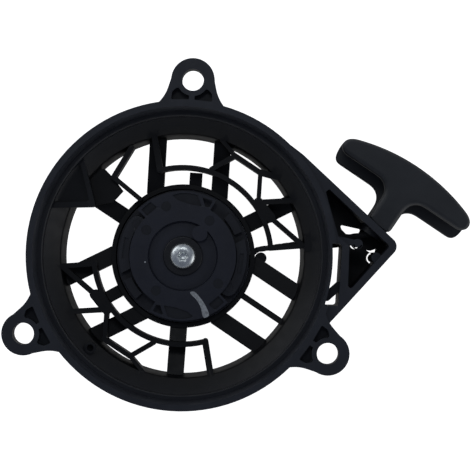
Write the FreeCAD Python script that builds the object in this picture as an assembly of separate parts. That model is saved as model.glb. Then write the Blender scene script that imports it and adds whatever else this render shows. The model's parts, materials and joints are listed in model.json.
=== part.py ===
import FreeCAD, Part
import math
import os

"""Three-lug recoil starter with a T-handle. Units are millimetres.

Frame: the origin is the crankshaft axis on the mounting plane, which is the engine side of the
three lugs. +Z points to the engine, so the whole starter hangs below z = 0, and +Y runs
through one lug. Heights are named by what they belong to and are negative downwards.
"""

os.makedirs("parts", exist_ok=True)
V = FreeCAD.Vector
UP = V(0, 0, 1)
BELOW = -60.0
ABOVE = 5.0

# ---- driving dimensions: mounting and outer ring -------------------------------------------
LUG_ANGLES = (90, 210, 330)
PCD = 190.5
LUG_HOLE_R = 5.9
LUG_OUTER_R = 11.8
LUG_DEPTH = 8.0
LUG_POCKET_FLOOR = 2.0
LUG_RING_R = 8.7
FLANGE_R = 84.1
FLANGE_IN_R = 80.7
FLANGE_THICK = 3.5
BODY_R = 82.4
SLOT_RING_R = 81.9
WALL = 2.6
LEDGE_R = 79.1
LEDGE_Z = -11.0
LIP_R = 76.4
ANNULUS_Z_OUT = -17.0
ANNULUS_Z_IN = -22.0
RING_TOP_R = 67.3
RING_LOW_R = 65.5
RING_LOW_Z = -36.0

# ---- grille --------------------------------------------------------------------------------
LATTICE_Z = -22.0
RIB_LOW_Z = -33.6
RIB_W = 2.7
ARC_R = 49.1
SPOKE_W = 9.4
SPOKE_OFFSET = 18.0
SPOKE_HUB_Z = (-35.0, -43.0)
SPOKE_RING_Z = (-30.0, -36.0)
MIDDLE_BAR_W = 3.4
STRUT_LOW_Z = -27.5
PANEL_Z = (-23.5, -16.4)
PANEL_FLOOR_Z = -18.6
WEB_Z = (-29.5, -26.5)

# ---- hub cup, centre post and what turns on it ---------------------------------------------
CUP_R = 40.2
CUP_IN_R = 37.7
CUP_RIM_Z = -33.6
CUP_FLOOR_Z = -51.0
BACK_Z = -53.5
POST_R = 7.0
POST_TOP_Z = -31.0
INSERT_BORE_R = 4.2
INSERT_LOW_Z = -47.0
INSERT_THREAD_R = 3.0
SPRING_STRIP = 0.6
SPRING_PITCH = 4.2
SPRING_IN_R = 12.6
SPRING_HALF_TURNS = 19
SPRING_Z = (-50.6, -44.4)
SPRING_POST = V(-33.8, 0, 0)
SPRING_POST_R = 1.4
COVER_Z = (-44.0, -43.4)
PULLEY_R = 36.9
PULLEY_BORE_R = 7.06
PULLEY_TOP_Z = -33.2
PULLEY_LOW_Z = -43.0
GROOVE_R = 17.0
GROOVE_Z = (-41.6, -34.8)
ARBOR_R = 11.5
ARBOR_LOW_Z = -50.4
COIL_R = 30.4
ROPE_R = 1.6
PULLEY_KNOT = V(9.65, 8.1, -37.8)
PAWL_PIVOT_R = 31.0
PAWL_PIVOT_ANGLE = 149.0
PAWL_PIN_R = 2.5
PAWL_Z = (-32.8, -28.5)
PAWL_ARM_R = (30.2, 35.6)
PAWL_EYE_R = 4.6
PAWL_SPRING_R = 3.7
PAWL_WIRE_R = 0.36
PLATE_TOP_Z = -26.0
PLATE_THICK = 2.0
PLATE_R = 29.7
WING_R = 36.0
SAIL_FLOOR_Z = -26.9
POCKET_FLOOR_Z = -27.3
EJECTOR_R = 2.8
EJECTOR_DEPTH = 0.2
EJECTOR_MARKS = ((29.0, 112.3), (24.6, 56.4), (24.8, 148.3), (24.4, 236.0), (25.0, 325.8))
DISH_R = 19.5
DISH_FLOOR_Z = (-30.8, -29.4)
COLLAR_NECK_R = 8.2
COLLAR_R = 11.0
COLLAR_TOP_Z = -28.0
SCREW_HEAD_R = 7.3
SCREW_HEAD_TOP_Z = -24.2
SCREW_R = 2.9
SCREW_END_Z = -45.0
SOCKET_LOW_Z = -27.2
SOCKET_R = 1.9
SOCKET_LOBE_R = 0.75

# ---- rope route, rope exit and handle ------------------------------------------------------
PULL_ANGLE = 59.8
EXIT = V(105.5, 22.7, -20.0)
COIL_Z = -38.2
ROPE_START = V(28.6, -15.4, COIL_Z)
ROPE_AT_CUP = V(40.2, 6.2, COIL_Z)
ROPE_AT_WALL = V(103.4, 19.1, -20.0)
ROPE_SPACE_R = 2.4
CUP_BEND_R = 5.0
EXIT_BEND_R = 4.3
FAIRLEAD = V(43.5, 1.7, 0)
FAIRLEAD_R = 3.25
FAIRLEAD_TOP_Z = -35.6
EYELET_PLAY = 0.15
EYELET_NECK_R = 4.2
EYELET_LIP_AT = -2.13
EYELET_SEAT = -1.5
EYELET_BORE_R = 6.9
BEAK_TOP_Z = -1.5
BEAK_FLOOR_Z = (-33.0, -30.5)
BEAK_RIB_Z = (-13.5, -4.5)
BEAK_POSTS = (V(95.0, 12.7, 0), V(105.4, 5.8, 0))
DUCT_Z = (-35.5, -20.0)
WALL_OFFSET = 85.2
WALL_NORMAL = V(0.636, 0.7717, 0)
HANDLE_HALF = 41.3
HANDLE_HALF_THICK = 13.0
HANDLE_FLANGE = 5.0
HANDLE_CROWN = 39.7
HANDLE_BOW = 7.4
HANDLE_UNDER = 22.1
HANDLE_LOW_UNDER = 18.4
HANDLE_CORE_UNDER = 24.6
HANDLE_PLAY = 0.4
STEM_HALF_W = 7.2
STEM_FILLET = 8.0
STEM_GROOVE_AT = 22.0
KNOT_AT = 30.8
KNOT_R = 4.0
PULLEY_KNOT_R = 3.3
CHAMBER_R = 6.0
CHAMBER_BACK = 5.2
CAP_R = 7.3
CAP_AT = 6.9


def polar(radius, angle, z=0.0):
    """Point at this radius and angle about the crankshaft axis."""
    turn = math.radians(angle)
    return V(radius * math.cos(turn), radius * math.sin(turn), z)


def cylinder(radius, low, high, at=V(0, 0, 0)):
    """Upright cylinder between two heights."""
    return Part.makeCylinder(radius, high - low, V(at.x, at.y, low))


def tube(outer, inner, low, high, at=V(0, 0, 0)):
    """Upright round tube between two heights."""
    return cylinder(outer, low, high, at).cut(cylinder(inner, low - 1, high + 1, at))


def turned(profile):
    """Solid of revolution about Z from (radius, z) corners."""
    corners = [V(r, 0, z) for r, z in profile]
    face = Part.Face(Part.makePolygon(corners + corners[:1]))
    return face.revolve(V(0, 0, 0), UP, 360)


def rounded_outline(corners, z):
    """Closed wire through (x, y, radius) corners, each rounded by its tangent arc."""
    edges = []
    count = len(corners)
    joints = []
    for i, (x, y, radius) in enumerate(corners):
        here = V(x, y, z)
        before = V(corners[i - 1][0], corners[i - 1][1], z)
        after = V(corners[(i + 1) % count][0], corners[(i + 1) % count][1], z)
        to_before = (before - here).normalize()
        to_after = (after - here).normalize()
        if radius == 0:
            joints.append((here, None, here))
            continue
        half = to_before.getAngle(to_after) / 2
        reach = radius / math.tan(half)
        bisector = (to_before + to_after).normalize()
        middle = here + bisector * (radius / math.sin(half) - radius)
        joints.append((here + to_before * reach, middle, here + to_after * reach))
    for i, (start, middle, end) in enumerate(joints):
        if middle is not None:
            edges.append(Part.Arc(start, middle, end).toShape())
        following = joints[(i + 1) % count][0]
        if end.distanceToPoint(following) > 1e-6:
            edges.append(Part.makeLine(end, following))
    return Part.Wire(edges)


def plate(corners, low, high):
    """Flat plate with rounded corners between two heights."""
    return Part.Face(rounded_outline(corners, low)).extrude(V(0, 0, high - low))


def sharp(points):
    """Corners with no rounding, from (x, y) pairs."""
    return [(x, y, 0) for x, y in points]


def bar(start, end, width, z_start, z_end):
    """Straight bar between two plan points; each end has its own (top, bottom) heights."""
    a = V(start[0], start[1], 0)
    b = V(end[0], end[1], 0)
    across = (b - a).cross(UP).normalize() * (width / 2)
    side = [a + across + UP * z_start[0], b + across + UP * z_end[0],
            b + across + UP * z_end[1], a + across + UP * z_start[1]]
    return Part.Face(Part.makePolygon(side + side[:1])).extrude(across * -2)


def rib(start, end, width=RIB_W, top=LATTICE_Z, low=RIB_LOW_Z):
    """Upright rib of one height with round ends."""
    body = bar(start, end, width, (top, low), (top, low))
    ends = [cylinder(width / 2, low, top, V(p[0], p[1], 0)) for p in (start, end)]
    return body.multiFuse(ends)


def sector(outer, inner, start_angle, end_angle, low, high):
    """Part of a flat ring between two angles."""
    angles = (start_angle, (start_angle + end_angle) / 2, end_angle)
    outer_arc = Part.Arc(*[polar(outer, angle, low) for angle in angles])
    inner_arc = Part.Arc(*[polar(inner, angle, low) for angle in reversed(angles)])
    side_a = Part.makeLine(polar(inner, start_angle, low), polar(outer, start_angle, low))
    side_b = Part.makeLine(polar(outer, end_angle, low), polar(inner, end_angle, low))
    wire = Part.Wire([side_a, outer_arc.toShape(), side_b, inner_arc.toShape()])
    return Part.Face(wire).extrude(V(0, 0, high - low))


def spun(shape, angle):
    """Copy turned about the crankshaft axis."""
    copy = shape.copy()
    copy.rotate(V(0, 0, 0), UP, angle)
    return copy


def pair(make):
    """A feature and its copy half a turn round."""
    return [make, spun(make, 180)]


def along_pull(shape):
    """Move a shape drawn with its pull direction on +Y at the origin to the rope exit."""
    placed = shape.copy()
    placed.rotate(V(0, 0, 0), UP, PULL_ANGLE - 90)
    placed.translate(EXIT)
    return placed


def save(name, shape):
    """Write one sub-part."""
    if not shape.isValid():
        print("INVALID", name)
    clean = shape.removeSplitter()
    shape = clean if clean.isValid() else shape
    shape.exportStep(os.path.join("parts", name + ".step"))
    print(name, "solids", len(shape.Solids), "volume", round(shape.Volume))


# ---- housing -------------------------------------------------------------------------------
def ring_shell():
    """Stepped dish of the housing: flange, wall, ledge, sloping annulus and ring wall."""
    outside = [
        (FLANGE_R, 0), (FLANGE_R, -FLANGE_THICK), (BODY_R, -FLANGE_THICK - 1.5),
        (BODY_R - 0.6, LEDGE_Z - 2.4), (LIP_R + WALL, LEDGE_Z - 4), (LIP_R + 2, ANNULUS_Z_OUT - WALL),
        (RING_TOP_R + 3.4, ANNULUS_Z_IN - 2.2), (RING_TOP_R + 2.0, ANNULUS_Z_IN - 4.5),
        (RING_LOW_R + WALL, RING_LOW_Z)]
    inside = [
        (RING_LOW_R, RING_LOW_Z), (RING_TOP_R, ANNULUS_Z_IN - 1), (RING_TOP_R + 0.8, ANNULUS_Z_IN),
        (LIP_R, ANNULUS_Z_OUT), (LIP_R, LEDGE_Z - 0.6), (LIP_R + 0.6, LEDGE_Z), (LEDGE_R, LEDGE_Z),
        (LEDGE_R + 0.4, LEDGE_Z + 1.2), (FLANGE_IN_R - 0.4, -1.2), (FLANGE_IN_R, 0)]
    return turned(outside + inside)


def lug():
    """Lug on +Y: round boss, web with two pockets beside a middle rib, and a stiffening skirt."""
    middle = PCD / 2
    web = plate([(-10.6, middle + 4.6, 0), (-14.2, 86.5, 20), (-20, 79, 0), (20, 79, 0), (14.2, 86.5, 20),
                 (10.6, middle + 4.6, 0)], -LUG_DEPTH, 0)
    boss = cylinder(LUG_OUTER_R, -LUG_DEPTH - 2, 0, V(0, middle, 0))
    body = web.fuse(boss)
    hole_ring = cylinder(LUG_RING_R, BELOW, ABOVE, V(0, middle, 0))
    for side in (-1, 1):
        outline = [(side * 1.5, 84.6, 0), (side * 11.2, 84.0, 0.8), (side * 10.8, 88.2, 1.6),
                   (side * 8.4, 90.8, 1.6), (side * 1.5, 88.4, 0.8)]
        body = body.cut(plate(outline, LUG_POCKET_FLOOR - LUG_DEPTH, ABOVE).cut(hole_ring))
    body = body.cut(cylinder(LUG_HOLE_R, BELOW, ABOVE, V(0, middle, 0)))
    return body.cut(cylinder(LEDGE_R + 2.4, BELOW, ABOVE))


def cup():
    """Hub cup with its closed outer face and the centre post."""
    shell = turned([
        (CUP_R, CUP_RIM_Z), (CUP_R, -45), (CUP_R - 1.5, -49), (CUP_R - 5, -52), (CUP_R - 9, BACK_Z),
        (14, BACK_Z), (12, BACK_Z + 1.2), (0, BACK_Z + 1.2), (0, CUP_FLOOR_Z), (CUP_IN_R - 2, CUP_FLOOR_Z),
        (CUP_IN_R, CUP_FLOOR_Z + 2), (CUP_IN_R, CUP_RIM_Z)])
    post = cylinder(POST_R, CUP_FLOOR_Z - 0.5, POST_TOP_Z)
    anchor = cylinder(SPRING_POST_R, CUP_FLOOR_Z - 0.2, COVER_Z[0] - 0.1, SPRING_POST)
    return shell.multiFuse([post, anchor]).cut(cylinder(INSERT_BORE_R, INSERT_LOW_Z, ABOVE))


def spokes():
    """Nine wide deep spokes: a parallel pair along each lug and one opposite each lug."""
    hub_r = CUP_R - 1.5
    ring_r = RING_LOW_R + 1.4
    pair_hub = math.sqrt((CUP_R - 2) ** 2 - SPOKE_OFFSET ** 2)
    pair_ring = math.sqrt(ring_r ** 2 - SPOKE_OFFSET ** 2)
    heights = (SPOKE_HUB_Z, SPOKE_RING_Z)
    made = []
    for angle in LUG_ANGLES:
        for y in (-SPOKE_OFFSET, SPOKE_OFFSET):
            made.append(spun(bar((pair_hub, y), (pair_ring, y), SPOKE_W, *heights), angle))
        made.append(spun(bar((hub_r, 0), (ring_r, 0), SPOKE_W, *heights), angle + 180))
    made.append(spun(bar((hub_r, 0), (ring_r, 0), MIDDLE_BAR_W, *heights), LUG_ANGLES[2]))
    made.append(bar((4.2, 38.4), (4.2, 47), 7.0, SPOKE_HUB_Z, (-34.0, -41.0)))
    return made


def lattice():
    """Two-fold upper ribs: the clearance arc round the starter cup and its struts."""
    a_ring, b, e, f = (-20.2, 66.6), (12.8, 49.0), (25.4, 57.4), (40.0, 49.0)
    a, c, t = (-15.6, 46.6), (40.0, 32.4), (47.2, 24.5)
    half = [
        sector(ARC_R + RIB_W / 2, ARC_R - RIB_W / 2, 9.0, 108.5, RIB_LOW_Z, LATTICE_Z),
        rib(a, a_ring, 3.4),
        rib(b, e),
        rib(e, f),
        rib(f, c, 2.4),
        rib(e, (17.6, 65.4), 2.2),
        rib(c, (60.9, 34.9), 3.0, LATTICE_Z, -26.0),
        rib(c, t, 5.4),
        rib(t, (66.0, 10.2), 2.8, LATTICE_Z, STRUT_LOW_Z),
        rib((48.0, 7.4), (66.4, 10.0), 2.8, LATTICE_Z, STRUT_LOW_Z)]
    made = []
    for piece in half:
        made.extend(pair(piece))
    node = (-41.0, 41.0)
    made.append(rib(node, (-32.2, 57.8), 2.9))
    made.append(rib(node, (-25.8, 30.0), 2.6, LATTICE_Z, SPOKE_HUB_Z[0] - 1))
    made.append(rib((40.0, 49.0), (51.8, 46.6), 3.4, LATTICE_Z, STRUT_LOW_Z))
    made.append(bar((-41.7, -26.6), (-32.5, -20.7), 6.8, (-31.0, -40.0), SPOKE_HUB_Z))
    return made


def corner_web():
    """Low web that fills the corner between the panel, the ring and the spoke at the upper left."""
    outline = [(-58.0, 46.0), (-46.4, 45.4), (-41.4, 40.8), (-35.4, 33.8), (-40.8, 27.0), (-50.5, 25.0),
               (-58.0, 27.0)]
    return plate(sharp(outline), *WEB_Z).common(cylinder(RING_TOP_R + 0.9, BELOW, ABOVE))


def corner_panel():
    """Recessed triangular panel that bridges the annulus at the upper left."""
    outline = [(-58.2, 51.8, 1.0), (-49.2, 23.7, 1.5), (-77.0, 21.3, 1.0), (-73.0, 36.0, 0)]
    inside = [(-59.2, 47.0, 1.0), (-53.0, 26.6, 1.0), (-74.2, 24.6, 1.0), (-70.6, 36.0, 0)]
    panel = plate(outline, *PANEL_Z).cut(plate(inside, PANEL_FLOOR_Z, ABOVE))
    return panel.common(cylinder(LIP_R + 0.5, BELOW, ABOVE))


def beak():
    """Rope-exit beak: triangular outer wall, floor and the cell inside it."""
    outer = [(50, 66.6, 0), (54.0, 64.45, 0), (62.0, 59.15, 0), (117.9, 13.2, 5.0), (87.0, -25.4, 3.0),
             (80.0, -34.0, 0), (62, 0, 0)]
    cell = [(75.7, 39.8, 0.6), (77.6, 41.3, 0.6), (112.4, 12.7, 1.5), (91.2, -13.9, 1.5), (90.4, 11.4, 2.0),
            (84.2, 15.9, 1.5)]
    solid = plate(outer, BEAK_FLOOR_Z[0], BEAK_TOP_Z)
    solid = solid.cut(cylinder(BODY_R - 0.6, BELOW, ABOVE))
    solid = solid.cut(plate(cell, BEAK_FLOOR_Z[1], ABOVE))
    window = [(86.2, 23.2, 0.8), (98.0, 21.4, 0.8), (96.5, 18.3, 0.8), (90.0, 18.3, 0.8), (87.4, 20.6, 0.5)]
    return solid.cut(plate(window, BELOW, DUCT_Z[1]))


def beak_slot():
    """Long through slot between the ring wall and the beak."""
    slot = [(78.0, 12.2, 0), (86.5, 12.2, 2.0), (86.6, -21.4, 1.5), (80.4, -21.8, 0.5), (76.0, -18.0, 0)]
    return plate(slot, BELOW, ABOVE).cut(cylinder(SLOT_RING_R, BELOW, ABOVE))


def beak_inner():
    """Cross rib, two rope posts and the diagonal bar across the slot."""
    low, top = BEAK_RIB_Z
    first, second = BEAK_POSTS
    return [rib((84.4, 14.6), (94.6, 13.0), 3.4, top, low), cylinder(2.8, low, top, first),
            cylinder(3.0, BEAK_FLOOR_Z[0], top, second), rib((86.8, -10.4), (80.2, -17.2), 4.4, -7, -15)]


def post_gaps():
    """Narrow curved gaps beside the two posts and the small drain hole between them."""
    made = []
    for centre, start, end, radius in ((BEAK_POSTS[0], 190, 350, 1.7), (BEAK_POSTS[1], 110, 250, 2.4)):
        gap = sector(radius + 0.8, radius, start, end, BELOW, ABOVE)
        gap.translate(centre)
        made.append(gap)
    drain = [(101.6, 10.1), (104.2, 9.8), (107.0, 11.0), (106.7, 9.2), (104.0, 8.8)]
    made.append(plate(sharp(drain), BELOW, DUCT_Z[1]))
    return made


def rope_duct():
    """Covered duct under the annulus from the ring wall to the beak."""
    block = plate(sharp([(66.9, 7.0), (86.5, 10.6), (86.5, 20.0), (66.9, 16.2)]), *DUCT_Z)
    return block.cut(cylinder(RING_LOW_R + 1.2, BELOW, ABOVE))


def rope_path_space(radius):
    """Clear passage round the rope from the cup to the wall."""
    start = ROPE_AT_CUP + (ROPE_START - ROPE_AT_CUP).normalize() * 6
    legs = [(start, ROPE_AT_CUP), (ROPE_AT_CUP, ROPE_AT_WALL)]
    made = [Part.makeCylinder(radius, (b - a).Length, a, b - a) for a, b in legs]
    made += [Part.makeSphere(radius, p) for p in (start, ROPE_AT_CUP, ROPE_AT_WALL)]
    return made[0].multiFuse(made[1:])


def exit_boss():
    """Square-on seat in the beak wall that holds the eyelet."""
    return along_pull(Part.makeCylinder(8.0, 5.6, V(0, -5.6, 0), V(0, 1, 0)))


def exit_bore():
    """Counterbore for the eyelet's flared lip and the bore for its neck."""
    lip = Part.makeCylinder(EYELET_BORE_R, 16, V(0, EYELET_SEAT - 16 + 0.03, 0), V(0, 1, 0))
    neck = Part.makeCylinder(EYELET_NECK_R + 0.05, 20, V(0, -10, 0), V(0, 1, 0))
    return along_pull(lip.fuse(neck))


def housing():
    """The one-piece moulded housing."""
    boss_at = V(-47.3, -54.0, 0)
    pieces = [ring_shell(), cup()] + [spun(lug(), angle - 90) for angle in LUG_ANGLES]
    pieces += spokes() + lattice() + [corner_web(), corner_panel(), beak(), exit_boss()]
    pieces += [cylinder(FAIRLEAD_R, -43, FAIRLEAD_TOP_Z, FAIRLEAD), tube(3.2, 1.9, -24, -17.4, boss_at)]
    body = pieces[0].multiFuse(pieces[1:]).cut(beak_slot())
    body = body.multiFuse([rope_duct()] + beak_inner())
    ring_space = tube(LEDGE_R + 0.2, LIP_R + 0.1, LEDGE_Z, ABOVE)
    pulley_space = cylinder(CUP_IN_R, COVER_Z[0], CUP_RIM_Z).cut(cylinder(POST_R, BELOW, ABOVE))
    body = body.cut(ring_space).cut(pulley_space)
    window = [(33.0, -3.0, 1.0), (40.0, -1.6, 1.0), (45.0, 9.6, 1.0), (36.0, 9.6, 1.0)]
    passage = plate(window, -41.4, -35.0).cut(cylinder(FAIRLEAD_R, BELOW, ABOVE, FAIRLEAD))
    for cut in [passage, rope_path_space(ROPE_SPACE_R), exit_bore()] + post_gaps():
        body = body.cut(cut)
    return body


# ---- centre parts on the post --------------------------------------------------------------
def threaded_insert():
    """Knurled metal insert in the post."""
    return tube(INSERT_BORE_R - 0.05, INSERT_THREAD_R, INSERT_LOW_Z + 0.1, POST_TOP_Z - 0.02)


def step_collar():
    """Flanged collar on the post, on which the friction plate turns."""
    bore = INSERT_THREAD_R + 0.2
    seat = COLLAR_TOP_Z - 1.2
    return turned([(bore, POST_TOP_Z), (COLLAR_NECK_R, POST_TOP_Z), (COLLAR_NECK_R, seat), (COLLAR_R, seat),
                   (COLLAR_R, COLLAR_TOP_Z - 0.4), (COLLAR_R - 0.5, COLLAR_TOP_Z), (bore, COLLAR_TOP_Z)])


def centre_screw():
    """Dome-headed screw with a six-lobe socket."""
    top = SCREW_HEAD_TOP_Z
    head = turned([(0, COLLAR_TOP_Z), (SCREW_HEAD_R, COLLAR_TOP_Z), (SCREW_HEAD_R, top - 2.4),
                   (SCREW_HEAD_R - 0.8, top - 1.0), (4.6, top), (0, top)])
    shank = cylinder(SCREW_R, SCREW_END_Z, COLLAR_TOP_Z)
    socket = cylinder(SOCKET_R, SOCKET_LOW_Z, ABOVE)
    for step in range(6):
        socket = socket.fuse(cylinder(SOCKET_LOBE_R, SOCKET_LOW_Z, ABOVE, polar(SOCKET_R + 0.1, step * 60)))
    return head.fuse(shank).cut(socket)


def spiral(start_radius, z):
    """Half circles that grow by a quarter pitch each: the edges and the last point."""
    edges = []
    radius = start_radius
    centre = 0.0
    side = 1
    for _ in range(SPRING_HALF_TURNS):
        start = V(centre + side * radius, 0, z)
        end = V(centre - side * radius, 0, z)
        edges.append(Part.Arc(start, V(centre, side * radius, z), end).toShape())
        centre = round(centre + side * SPRING_PITCH / 4, 6)
        radius += SPRING_PITCH / 4
        side = -side
    return edges, end


def rewind_spring():
    """Flat spiral strip between the arbor and the cup wall, hooked round the anchor post."""
    low, high = SPRING_Z
    post = SPRING_POST + UP * low
    edges = []
    starts = []
    tips = []
    for start_radius in (SPRING_IN_R, SPRING_IN_R + SPRING_STRIP):
        turns, end = spiral(start_radius, low)
        reach = (end - post).Length
        tip = post - V(reach, 0, 0)
        edges += turns + [Part.Arc(end, post - V(0, reach, 0), tip).toShape()]
        starts.append(V(start_radius, 0, low))
        tips.append(tip)
    edges += [Part.makeLine(*starts), Part.makeLine(*tips)]
    wire = Part.Wire(Part.__sortEdges__(edges))
    return Part.Face(wire).extrude(V(0, 0, high - low))


def spring_cover():
    """Thin disc between the spring and the pulley, held under three cup snaps."""
    return tube(CUP_IN_R - 0.1, 12.2, *COVER_Z)


# ---- pulley and what rides on it -----------------------------------------------------------
def pawl_pivots():
    """Plan points of the two pawl pivots."""
    return [polar(PAWL_PIVOT_R, PAWL_PIVOT_ANGLE + turn) for turn in (0, 180)]


def pulley():
    """Rope pulley with arbor, pawl pockets and knot pocket."""
    groove_low, groove_top = GROOVE_Z
    body = turned([
        (PULLEY_BORE_R, PULLEY_TOP_Z), (PULLEY_R, PULLEY_TOP_Z), (PULLEY_R, groove_top + 0.4),
        (PULLEY_R - 0.6, groove_top), (GROOVE_R, groove_top), (GROOVE_R, groove_low),
        (PULLEY_R - 0.6, groove_low), (PULLEY_R, groove_low - 0.4), (PULLEY_R, PULLEY_LOW_Z),
        (ARBOR_R, PULLEY_LOW_Z), (ARBOR_R, ARBOR_LOW_Z), (PULLEY_BORE_R, ARBOR_LOW_Z)])
    rim = tube(16.0, 14.0, PULLEY_TOP_Z - 0.1, -31.6)
    stop = sector(35.6, 31.0, 26, 46, PULLEY_TOP_Z - 0.1, -29.2)
    body = body.multiFuse([rim] + pair(stop))
    for pivot in pawl_pivots():
        body = body.cut(cylinder(PAWL_PIN_R, groove_top - 1.2, ABOVE, pivot))
        body = body.cut(tube(4.9, PAWL_PIN_R - 0.1, PULLEY_TOP_Z - 0.9, ABOVE, pivot))
    body = body.cut(cylinder(3.8, -41.2, -34.0, PULLEY_KNOT))
    return body.cut(Part.makeBox(5.6, 4.0, 4.6, V(11.0, 6.4, -39.2)))


def pawl_pin(pivot):
    """Shouldered pin pressed into the pulley."""
    return cylinder(PAWL_PIN_R, GROOVE_Z[1] + 0.05, PAWL_Z[1] + 0.2, pivot)


def pawl():
    """Curved pawl at the first pivot: eye, arm and hooked tip."""
    low, high = PAWL_Z
    inner, outer = PAWL_ARM_R
    pivot = pawl_pivots()[0]
    eye = cylinder(PAWL_EYE_R, low, high, pivot)
    arm = sector(outer, inner, PAWL_PIVOT_ANGLE, 196.5, low, high)
    hook = [(polar(inner, 190), 0), (polar(outer, 190), 0), (polar(outer + 0.3, 199.5), 0.6),
            (polar(inner - 0.3, 197.0), 0.6)]
    tip = plate([(p.x, p.y, radius) for p, radius in hook], low, high)
    body = eye.multiFuse([arm, tip]).cut(cylinder(PAWL_PIN_R + 0.06, BELOW, ABOVE, pivot))
    recess = [polar(31.6, 166), polar(34.2, 166), polar(34.2, 186), polar(31.6, 186)]
    return body.cut(plate(sharp([(p.x, p.y) for p in recess]), high - 1.0, ABOVE))


def pawl_spring(pivot):
    """Torsion spring ring in its pocket round the pawl pin."""
    return Part.makeTorus(PAWL_SPRING_R, PAWL_WIRE_R, V(pivot.x, pivot.y, PULLEY_TOP_Z - 0.42))


def rope_coil():
    """Wound rope as one ring between the pulley flanges."""
    low, high = GROOVE_Z[0] + 0.05, GROOVE_Z[1] - 0.05
    inner = GROOVE_R + 0.05
    shoulder = COIL_R - ROPE_R
    return turned([(inner, low), (shoulder, low), (COIL_R, low + ROPE_R), (COIL_R, high - ROPE_R),
                   (shoulder, high), (inner, high)])


def friction_plate():
    """Two-winged moulded plate: dished middle, tab, wing recesses, ejector marks and bore."""
    low = PLATE_TOP_Z - PLATE_THICK
    bore = COLLAR_NECK_R + 0.08
    band = tube(PLATE_R, DISH_R, low, PLATE_TOP_Z)
    dish = turned([(bore, DISH_FLOOR_Z[0]), (DISH_R - 0.6, DISH_FLOOR_Z[0]), (DISH_R + 1.4, low - 0.6),
                   (DISH_R + 1.4, PLATE_TOP_Z), (DISH_R, PLATE_TOP_Z), (DISH_R - 0.8, DISH_FLOOR_Z[1]),
                   (bore, DISH_FLOOR_Z[1])])
    wings = pair(sector(WING_R, PLATE_R - 1, 62.8, 138.0, low, PLATE_TOP_Z))
    tab_space = tube(DISH_R + 1, COLLAR_R + 0.3, BELOW, ABOVE)
    tab = cylinder(4.3, low, PLATE_TOP_Z, polar(15.7, 56.8)).common(tab_space)
    body = band.multiFuse([dish, tab] + wings)
    sail = wing_cut([(34.3, 104, 0.6), (35.0, 96, 0), (35.1, 88, 0), (34.8, 79.8, 0.6), (29.4, 72.6, 0.5),
                     (28.9, 86, 2.0), (30.9, 98.3, 1.5)], SAIL_FLOOR_Z)
    corner = wing_cut([(34.5, 75.4, 0.4), (34.9, 65.2, 0.5), (30.9, 65.0, 0.5), (30.1, 69.2, 0.4)], low - 1)
    pocket = wing_cut([(34.6, 135.6, 0.5), (35.0, 124.6, 0.8), (30.5, 121.4, 0.8), (29.8, 135.8, 0.5)],
                      POCKET_FLOOR_Z)
    for cut in pair(sail) + pair(corner) + pair(pocket):
        body = body.cut(cut)
    for radius, angle in EJECTOR_MARKS:
        body = body.cut(cylinder(EJECTOR_R, PLATE_TOP_Z - EJECTOR_DEPTH, ABOVE, polar(radius, angle)))
    return body


def wing_cut(corners, floor_z):
    """Recess in a wing from (radius, angle, corner rounding) corners."""
    outline = []
    for radius, angle, rounding in corners:
        corner = polar(radius, angle)
        outline.append((corner.x, corner.y, rounding))
    return plate(outline, floor_z, ABOVE)


def friction_spring():
    """Cone spring washer that presses the friction plate against the collar."""
    inner, outer, gauge = 9.0, 12.6, 0.5
    low = PULLEY_TOP_Z + 0.05
    high = DISH_FLOOR_Z[0] - 0.6
    return turned([(inner, high), (outer, low), (outer, low + gauge), (inner, high + gauge)])


def rope_knot(radius, at):
    """Tied rope end as a rounded knot."""
    return Part.makeSphere(radius, at)


# ---- rope and handle -----------------------------------------------------------------------
def rope_run():
    """Rope from the coil round the cup fairlead, through the duct and eyelet into the handle."""
    pull = polar(1, PULL_ANGLE)
    points = [ROPE_START, ROPE_AT_CUP, ROPE_AT_WALL, EXIT + pull * (KNOT_AT - KNOT_R - 0.3)]
    edges = []
    start = points[0]
    for i, radius in enumerate((CUP_BEND_R, EXIT_BEND_R), 1):
        here = points[i]
        back = (points[i - 1] - here).normalize()
        ahead = (points[i + 1] - here).normalize()
        half = back.getAngle(ahead) / 2
        reach = radius / math.tan(half)
        bisector = (back + ahead).normalize()
        middle = here + bisector * (radius / math.sin(half) - radius)
        edges.append(Part.makeLine(start, here + back * reach))
        edges.append(Part.Arc(here + back * reach, middle, here + ahead * reach).toShape())
        start = here + ahead * reach
        print("rope bend", i, "radius", radius)
    edges.append(Part.makeLine(start, points[-1]))
    path = Part.Wire(edges)
    section = Part.Wire(Part.makeCircle(ROPE_R, points[0], points[1] - points[0]))
    rope = path.makePipeShell([section], True, True)
    print("rope length", round(path.Length, 1), "volume ratio",
          round(rope.Volume / (math.pi * ROPE_R ** 2 * path.Length), 4))
    return rope


def rope_eyelet():
    """Hard eyelet with a round inner lip, in the beak wall."""
    out = V(0, 1, 0)
    lip_at = V(0, EYELET_LIP_AT, 0)
    bore_r = ROPE_R + EYELET_PLAY
    lip_r = EXIT_BEND_R - bore_r
    neck = Part.makeCylinder(EYELET_NECK_R, -EYELET_LIP_AT - 0.1, lip_at, out)
    flange = Part.makeCylinder(EXIT_BEND_R + lip_r, EYELET_SEAT - EYELET_LIP_AT, lip_at, out)
    lip = Part.makeTorus(EXIT_BEND_R, lip_r, lip_at, out)
    lip = lip.common(Part.makeBox(40, 20, 40, V(-20, EYELET_LIP_AT - 20, -20)))
    bore = Part.makeCylinder(bore_r, 20, lip_at, out)
    return along_pull(neck.multiFuse([flange, lip]).cut(bore))


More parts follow.
